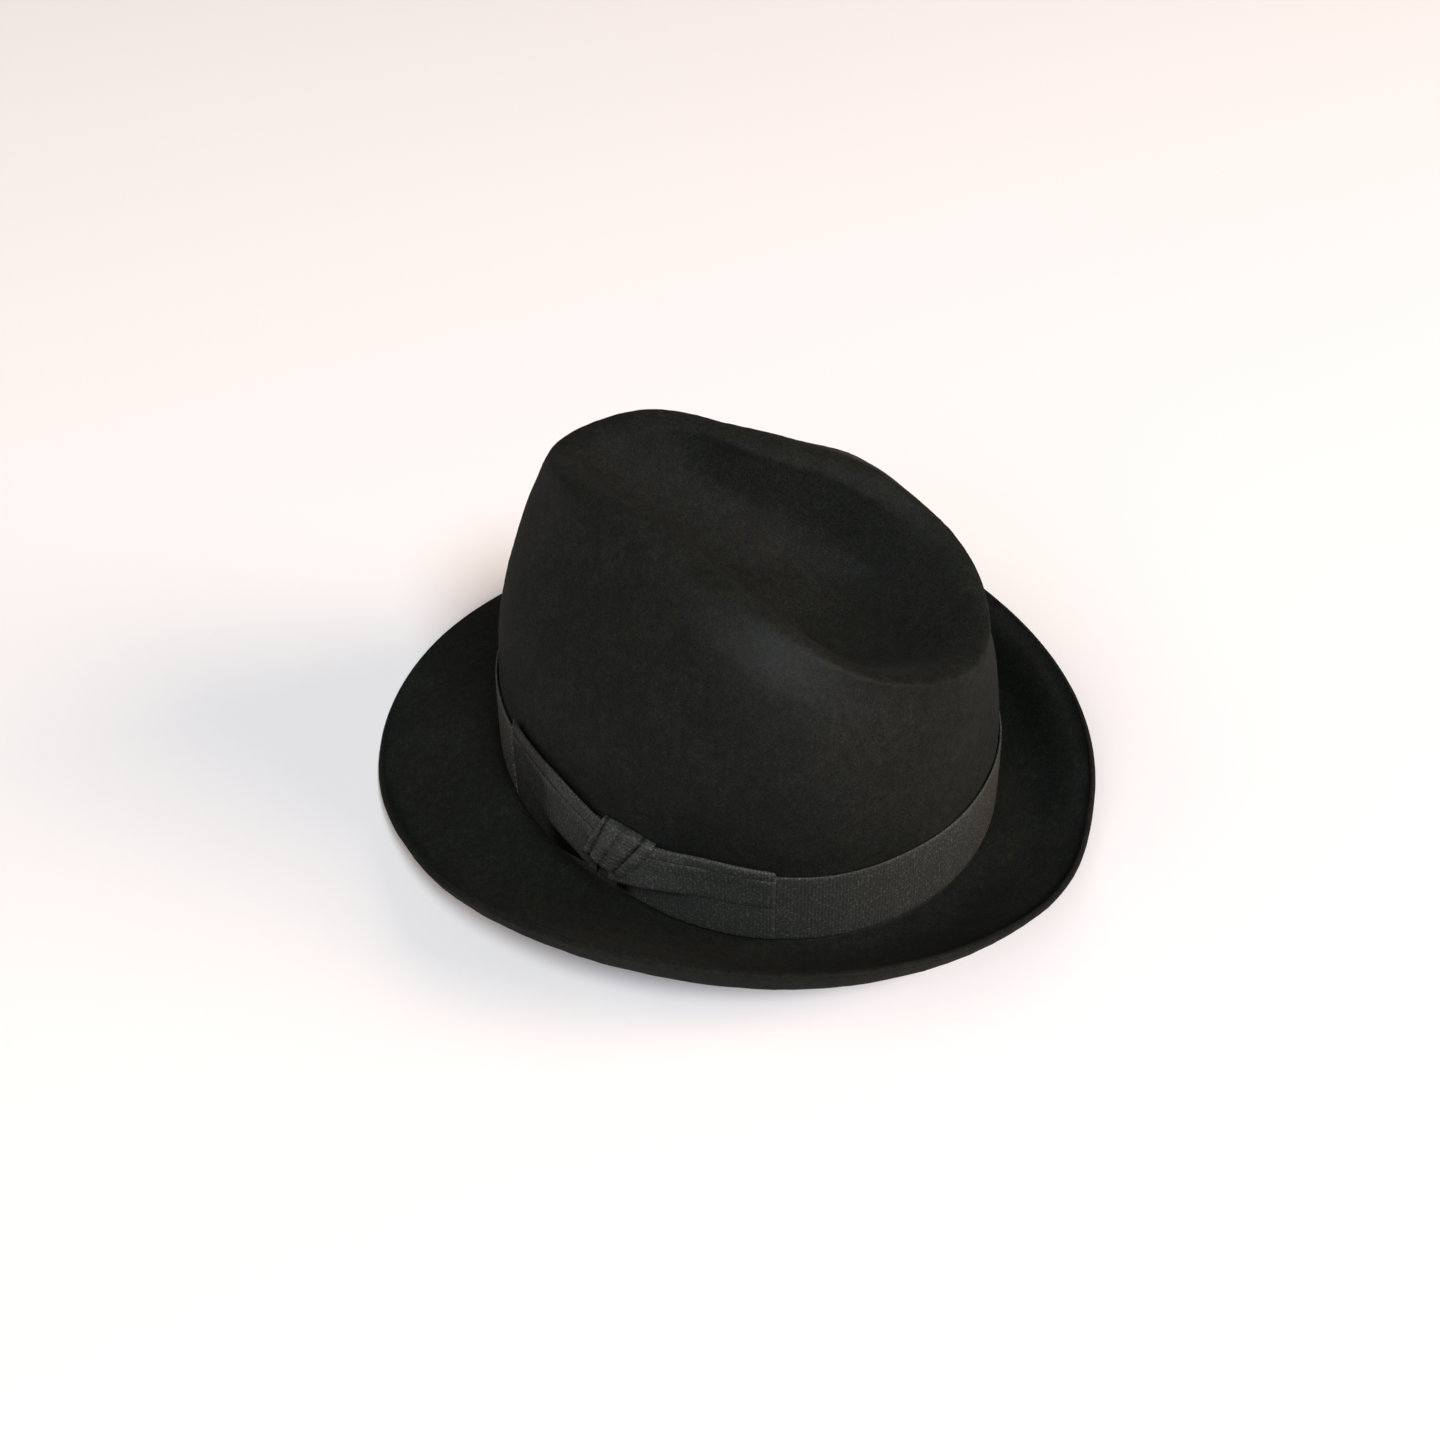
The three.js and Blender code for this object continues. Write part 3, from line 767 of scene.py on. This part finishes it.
def bow_knot(sizes):
    """The knot: a ribbon drawn over the middle of the bow, pleated, standing off at its foot."""
    spacing = sizes.rib_spacing / MM
    places = np.linspace(0, len(KNOT) - 1, KNOT_COLUMNS)
    value = {column: along(KNOT, column, places) for column in KNOT[0]}
    low, high = value["low"], value["high"]
    foot, head, curl = value["low_out"], value["high_out"], value["curl"]
    part = np.linspace(0, 1, KNOT_COLUMNS)
    # the side edges are folds that turn in
    edge = np.sqrt(np.clip(1 - (np.abs(part - 0.5) * 2) ** 6, 0, 1))

    def crease_at(up_part):
        """How deep the creases are across the knot, at a part of its height."""
        depth = 0
        for row in KNOT_CREASES:
            off = part - row["at"] - row["spread"] * (up_part - 0.3)
            depth = depth + row["deep"] * np.exp(-(off / row["wide"]) ** 2)
        return depth

    def swell(up_part):
        """How far the cloth between the creases swells out."""
        return 0.8 * np.sin(2.3 * math.pi * part + 0.35) ** 2 - crease_at(up_part)

    # heights and standing-off, from the curled foot up the knot's face and in over its top
    tall = high - low
    section = np.stack([
        spots(low + 2.6, foot - 2.2 - 0.2 * curl),
        spots(low + 0.6, foot - 1.4 - 0.25 * curl),
        spots(low - 0.2, foot + 0.1 - 0.3 * curl),
        spots(low + 1.2 + 0.45 * curl, foot + 1.3 * edge + 0.6 * swell(0.1)),
        spots(low + 0.35 * tall, foot * 0.72 + head * 0.28 + 1.5 * edge + swell(0.35)),
        spots(low + 0.62 * tall, foot * 0.42 + head * 0.58 + 1.5 * edge + 1.2 * swell(0.62)),
        spots(high - 2.6, head + 1.3 * edge + 0.9 * swell(0.9)),
        spots(high - 0.1, head + 0.4 * edge + 0.4 * swell(1)),
        spots(high + 0.5, head - 0.9),
        spots(high + 0.3, 0.75),
    ], axis=1)
    rough = through(section, 60)
    length = lengths_along(rough[KNOT_COLUMNS // 2])
    rows = int(length[-1] / spacing * PER_RIB)
    line = through(section, rows)
    up = np.linspace(0, 1, rows)[None, :]
    height_part = (line[..., 0] - low[:, None]) / tall[:, None]
    angles = np.radians(value["at"][:, None] + value["lean"][:, None] * (1 - 2 * height_part))
    back = off_the_wall(angles, line[..., 0], line[..., 1])
    rib = sizes.rib_depth / MM * (0.5 + 0.5 * np.cos(2 * math.pi * up * length[-1] / spacing))
    thick = KNOT_RIBBON + np.repeat(rib, KNOT_COLUMNS, axis=0)
    # painted shade in the knot's creases and towards its curled foot
    inside = np.stack([np.clip(crease_at(v) / 1.2, 0, 1) for v in up[0]], axis=1)
    under = np.clip(1 - up * (section.shape[1] - 1) / 2.2, 0, 1)
    piece = cloth_strip("bow_knot_pleated", back, thick, np.maximum(0.8 * inside, under))
    return piece


def thread_ends():
    """Frayed thread ends at the cut ends of the bow's ribbon: short bent stubs, three-sided."""
    points, faces = [], []
    for row in THREADS:
        for _ in range(row["count"]):
            height = random.uniform(row["low"], row["high"])
            out = random.uniform(1.0, 2.1)
            length = random.uniform(0.5, row["long"])
            bend = random.uniform(-0.9, 0.9)
            # each starts under the cloth, 0.2 to 0.9 mm inside its end
            start = row["at"] - row["way"] * random.uniform(0.2, 0.9) / MM_PER_DEGREE
            line = off_the_wall(
                np.radians([start + row["way"] * length * s / MM_PER_DEGREE for s in THREAD_STEPS]),
                np.array([height + bend * s * s * length for s in THREAD_STEPS]),
                np.array([out + random.uniform(-0.3, 0.7) * s * s for s in THREAD_STEPS]))
            first = len(points)
            for step, middle in zip(THREAD_STEPS, line):
                wide = THREAD * (1 - 0.5 * step)
                outward = np.array([middle[0], middle[1] - OPENING_BACK, 0])
                outward /= np.linalg.norm(outward)
                for corner in range(3):
                    turn = 2 * math.pi * corner / 3
                    way = math.cos(turn) * outward + math.sin(turn) * np.array([0, 0, 1])
                    points.append(middle + wide * way)
            ring = [[first + 3 * k + c for c in range(3)] for k in range(len(THREAD_STEPS))]
            body = [[a[c], a[(c + 1) % 3], b[(c + 1) % 3], b[c]]
                    for a, b in zip(ring, ring[1:]) for c in range(3)]
            body += [ring[0][::-1], ring[-1]]
            faces += faces_out(points, body)
    return make_mesh("bow_thread_ends", points, faces)


def bow_back_leaf(sizes):
    """The leaf that points to the back of the hat."""
    piece = bow_leaf("bow_back_leaf_folded", BACK_LEAF, sizes, True)
    return piece


def bow_front_leaf(sizes):
    """The leaf that points to the front of the hat."""
    piece = bow_leaf("bow_front_leaf_folded", FRONT_LEAF, sizes, False)
    return piece


def add_node(tree, kind, settings=(), links=()):
    """Adds a node to a tree. settings are (name or input, value), links are (input, socket)."""
    node = tree.nodes.new(kind)
    for name, value in settings:
        if isinstance(name, str) and hasattr(node, name):
            setattr(node, name, value)
        else:
            node.inputs[name].default_value = value
    for name, socket in links:
        tree.links.new(socket, node.inputs[name])
    return node


def new_material(name):
    """A material without nodes, and its tree."""
    material = bpy.data.materials.new(name)
    material.use_nodes = True
    material.node_tree.nodes.clear()
    return material, material.node_tree


def pattern(tree, place, *settings):
    """A noise pattern from 0 to 1; its size is 1 / Scale in metres."""
    return add_node(tree, "ShaderNodeTexNoise", settings, [("Vector", place)]).outputs["Fac"]


def ranged(tree, value, *settings):
    """A value brought from one range to another."""
    return add_node(tree, "ShaderNodeMapRange", settings, [("Value", value)]).outputs[0]


def surface(tree, settings, links=()):
    """A Principled shader, joined to the output node that it adds."""
    shader = add_node(tree, "ShaderNodeBsdfPrincipled", settings, links)
    add_node(tree, "ShaderNodeOutputMaterial", (), [("Surface", shader.outputs[0])])


def black_wool_felt(colours):
    """Fur-like wool felt, blocked with steam and brushed: matt, with a soft nap that lights up
    at grazing angles and a mottled grain of matted fibres."""
    material, tree = new_material("wool_felt_brushed")
    place = add_node(tree, "ShaderNodeTexCoord").outputs["Object"]
    # matted tufts of fibres, up to 3 mm across
    tufts = pattern(tree, place, ("Scale", 300), ("Detail", 4), ("Roughness", 0.6))
    # single wool fibres are 0.03 mm thick; a grain of 0.1 to 0.7 mm stands for them, so that
    # they show at all
    fibres = pattern(tree, place, ("Scale", 1500), ("Detail", 3), ("Roughness", 0.75),
                     ("Distortion", 1.2))
    spread = ranged(tree, fibres, ("From Min", 0.36), ("From Max", 0.70))
    patch = ranged(tree, tufts, ("From Min", 0.3), ("From Max", 0.7), ("To Min", 0.3),
                   ("To Max", 0.8))
    both = add_node(tree, "ShaderNodeMath", [("operation", "MULTIPLY")],
                    [(0, spread), (1, patch)]).outputs[0]
    # worn and brushed places, 5 to 18 mm across, are a little lighter
    worn_places = pattern(tree, place, ("Scale", 55), ("Detail", 2))
    wear = ranged(tree, worn_places, ("From Min", 0.3), ("From Max", 0.7), ("To Min", 0.72),
                  ("To Max", 1.22))
    light = add_node(tree, "ShaderNodeMath", [("operation", "MULTIPLY")],
                     [(0, both), (1, wear)]).outputs[0]
    # the dyed fleece holds olive and slate fibres side by side
    hue = pattern(tree, place, ("Scale", 620), ("Detail", 2))
    apart = ranged(tree, hue, ("From Min", 0.42), ("From Max", 0.6))
    fibre = add_node(tree, "ShaderNodeMix", [
        ("data_type", "RGBA"), (6, (*colours.felt_light, 1)), (7, (*linear("#2c3030"), 1))],
        [(0, apart)])
    colour = add_node(tree, "ShaderNodeMix", [("data_type", "RGBA"), (6, (*colours.felt, 1))],
                      [(0, light), (7, fibre.outputs[2])])
    height = add_node(tree, "ShaderNodeMath", [("operation", "MULTIPLY_ADD"), (1, 0.5)],
                      [(0, tufts), (2, fibres)])
    bump = add_node(tree, "ShaderNodeBump", [("Strength", 0.5), ("Distance", 0.0004)],
                    [("Height", height.outputs[0])])
    # the nap shines a little where hands have smoothed it
    worn = add_node(tree, "ShaderNodeAttribute", [("attribute_name", "polish")])
    gloss = ranged(tree, worn.outputs["Fac"], ("To Min", 0.07), ("To Max", 0.3))
    surface(tree, [
        ("Roughness", 0.9), ("IOR", 1.5), ("Specular IOR Level", 0.0),
        ("Sheen Weight", 0.015), ("Sheen Roughness", 0.4),
        ("Coat Roughness", 0.38), ("Coat IOR", 1.5)],
        [("Base Color", colour.outputs[2]), ("Normal", bump.outputs[0]),
         ("Coat Weight", gloss), ("Coat Normal", bump.outputs[0])])
    return material


def black_ribbed_ribbon(colours):
    """Ribbed rayon ribbon, woven: cross ribs, a low silky gloss, specks that are partly lint and partly
    painted glints, and painted shade.
    """
    material, tree = new_material("rayon_ribbon_woven")
    place = add_node(tree, "ShaderNodeTexCoord").outputs["Object"]
    # the crossing threads are 0.25 mm apart, drawn at up to 0.8 mm so that they show
    threads = pattern(tree, place, ("Scale", 1300), ("Detail", 2), ("Roughness", 0.6))
    # light specks: partly lint, partly painted glints where threads catch the light
    specks = ranged(tree, threads, ("From Min", 0.52), ("From Max", 0.8))
    woven = add_node(tree, "ShaderNodeMix", [
        ("data_type", "RGBA"), (6, (*colours.ribbon, 1)), (7, (*linear("#5b5c56"), 1))],
        [(0, specks)])
    # painted shade: towards near black on the back faces, in the pleats and creases, under the knot, at
    # the knot's foot and over the front leaf
    painted_shade_node = add_node(tree, "ShaderNodeAttribute", [("attribute_name", "painted_fold_shade")])
    colour = add_node(tree, "ShaderNodeMix", [
        ("data_type", "RGBA"), (7, (*linear("#0b0c0c"), 1))],
        [(0, painted_shade_node.outputs["Fac"]), (6, woven.outputs[2])])
    bump = add_node(tree, "ShaderNodeBump", [("Strength", 0.5), ("Distance", 0.0003)],
                    [("Height", threads)])
    surface(tree, [
        ("Roughness", 0.7), ("IOR", 1.5), ("Specular IOR Level", 0.0),
        ("Coat Weight", 0.3), ("Coat Roughness", 0.36), ("Coat IOR", 1.5)],
        [("Base Color", colour.outputs[2]), ("Normal", bump.outputs[0]),
         ("Coat Normal", bump.outputs[0])])
    return material


def frayed_threads():
    """Rayon threads, frayed, at the ribbon's cut ends: their light grey is a painted highlight for the
    light that the black filaments catch.
    """
    material, tree = new_material("rayon_threads_frayed")
    surface(tree, [
        ("Base Color", (*linear("#6d706b"), 1)), ("Roughness", 0.45), ("IOR", 1.5),
        ("Specular IOR Level", 0.3)])
    return material


class TRILBY_OT_felt(bpy.types.Operator):
    """Blocks the felt body: crown and brim"""

    bl_idname = "trilby.felt"
    bl_label = "Felt body"

    def execute(self, context):
        piece = felt_body(context.scene.trilby_sizes)
        piece.data.materials.append(black_wool_felt(context.scene.trilby_colours))
        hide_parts("felt_body")
        return {"FINISHED"}


class TRILBY_OT_ribbon(bpy.types.Operator):
    """Lays the ribbon band round the crown"""

    bl_idname = "trilby.ribbon"
    bl_label = "Ribbon band"

    def execute(self, context):
        piece = ribbon_band(context.scene.trilby_sizes)
        piece.data.materials.append(black_ribbed_ribbon(context.scene.trilby_colours))
        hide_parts("ribbon_band")
        return {"FINISHED"}


class TRILBY_OT_bow(bpy.types.Operator):
    """Folds the bow: two leaves and the knot"""

    bl_idname = "trilby.bow"
    bl_label = "Bow"

    def execute(self, context):
        sizes = context.scene.trilby_sizes
        ribbon = bpy.data.materials["rayon_ribbon_woven"]
        made = {
            "bow_back_leaf": bow_back_leaf(sizes),
            "bow_front_leaf": bow_front_leaf(sizes),
            "bow_knot": bow_knot(sizes),
        }
        for node, piece in made.items():
            piece.data.materials.append(ribbon)
            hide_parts(node)
        threads = thread_ends()
        threads.data.materials.append(frayed_threads())
        return {"FINISHED"}


# The camera, as it was fitted to the hat's outlines in the photograph: its place in degrees
# and metres, its focal length and the middle of its view in pixels of a frame 1440 wide
PHOTO_WIDE = 1440
SENSOR = 36
CAMERA = {"azimuth": 115.36, "elevation": 45.99, "distance": 0.55, "focal": 1402.5,
          "middle": (744.25, 762.52)}


def direction(turn, lift):
    """The way to a place, by degrees from the back round the wearer's left and degrees up."""
    turn, lift = math.radians(turn), math.radians(lift)
    return Vector((math.sin(turn) * math.cos(lift), math.cos(turn) * math.cos(lift), math.sin(lift)))


def aim(item, eye, target):
    """Puts a camera or light at a point, turned towards another."""
    item.location = eye
    item.rotation_mode = "QUATERNION"
    item.rotation_quaternion = (Vector(target) - Vector(eye)).to_track_quat("-Z", "Y")


def photo_camera():
    """The camera at the photograph's angle."""
    data = bpy.data.cameras.new("photo_camera")
    data.sensor_width = SENSOR
    data.lens = CAMERA["focal"] / PHOTO_WIDE * SENSOR
    across, down = CAMERA["middle"]
    data.shift_x = -(across - PHOTO_WIDE / 2) / PHOTO_WIDE
    data.shift_y = (down - PHOTO_WIDE / 2) / PHOTO_WIDE
    data.clip_start = 0.01
    data.clip_end = 50
    camera = put_in_scene("photo_camera", data)
    # the azimuth is counted from the front of the hat
    back = direction(180 - CAMERA["azimuth"], CAMERA["elevation"])
    target = Vector((0, OPENING_BACK * MM, 0))
    aim(camera, target + back * CAMERA["distance"], target)
    bpy.context.scene.camera = camera


# Studio lights: where each stands, in degrees from the back round the wearer's left and in
# degrees up, how wide it is in metres, its power and its colour. The strong ones are a cool
# window behind the hat's left and a warm low one behind its right.
LIGHT_AWAY = 6
LIGHT_TARGET = (0, 0, 0.05)
LIGHTS = [
    {"name": "window_back_left", "at": 32, "lift": 50, "size": 2.0, "power": 260, "colour": "#e8f4ff"},
    {"name": "low_back", "at": -20, "lift": 24, "size": 3.5, "power": 320, "colour": "#ffe0cc"},
    {"name": "camera_left", "at": 100, "lift": 40, "size": 4.0, "power": 105, "colour": "#ececff"},
    {"name": "front_left", "at": 150, "lift": 40, "size": 4.0, "power": 75, "colour": "#ffeccc"},
]


def studio_lights():
    """The soft studio lights and a room that is a little lighter than black."""
    for row in LIGHTS:
        data = bpy.data.lights.new(row["name"], "AREA")
        data.shape = "DISK"
        data.size = row["size"]
        data.energy = row["power"]
        data.color = linear(row["colour"])
        light = put_in_scene(row["name"], data)
        aim(light, direction(row["at"], row["lift"]) * LIGHT_AWAY, LIGHT_TARGET)
    world = bpy.data.worlds.new("soft_room")
    world.use_nodes = True
    room = world.node_tree.nodes["Background"]
    room.inputs["Color"].default_value = (*linear("#fdf8f2"), 1)
    room.inputs["Strength"].default_value = 0.1
    bpy.context.scene.world = world


# Half the floor's side, in metres
FLOOR_HALF = 6


def pale_floor(colours):
    """A plain pale floor of painted board: matt and near white."""
    corners = [(FLOOR_HALF * east, FLOOR_HALF * north, 0)
               for east, north in ((-1, -1), (1, -1), (1, 1), (-1, 1))]
    mesh = bpy.data.meshes.new("pale_floor")
    mesh.from_pydata(corners, [], [[0, 1, 2, 3]])
    floor = put_in_scene("pale_floor", mesh)
    material, tree = new_material("matt_painted_board")
    surface(tree, [
        ("Base Color", (*colours.floor, 1)), ("Roughness", 0.8), ("Specular IOR Level", 0.2)])
    floor.data.materials.append(material)


class TRILBY_OT_stage(bpy.types.Operator):
    """Sets the camera, the soft light and the pale floor"""

    bl_idname = "trilby.stage"
    bl_label = "Stage"

    def execute(self, context):
        photo_camera()
        studio_lights()
        pale_floor(context.scene.trilby_colours)
        context.scene.view_settings.view_transform = "Standard"
        return {"FINISHED"}


STEPS = [TRILBY_OT_stage, TRILBY_OT_felt, TRILBY_OT_ribbon, TRILBY_OT_bow]


class TRILBY_PT_panel(bpy.types.Panel):
    """Lists the hat's sizes, colours and steps."""

    bl_label = "Felt trilby"
    bl_idname = "TRILBY_PT_panel"
    bl_space_type = "VIEW_3D"
    bl_region_type = "UI"
    bl_category = "Trilby"

    def draw(self, context):
        for group in (context.scene.trilby_sizes, context.scene.trilby_colours):
            for name in group.__annotations__:
                self.layout.prop(group, name)
        for step in STEPS:
            self.layout.operator(step.bl_idname)


CLASSES = [TrilbySizes, TrilbyColours, *STEPS, TRILBY_PT_panel]


def register():
    for item in CLASSES:
        bpy.utils.register_class(item)
    bpy.types.Scene.trilby_sizes = PointerProperty(type=TrilbySizes)
    bpy.types.Scene.trilby_colours = PointerProperty(type=TrilbyColours)


def unregister():
    del bpy.types.Scene.trilby_colours
    del bpy.types.Scene.trilby_sizes
    for item in reversed(CLASSES):
        bpy.utils.unregister_class(item)


def main():
    """Builds everything in order."""
    register()
    random.seed(7)
    bpy.ops.trilby.stage()
    bpy.ops.trilby.felt()
    bpy.ops.trilby.ribbon()
    bpy.ops.trilby.bow()


if __name__ == "__main__":
    main()
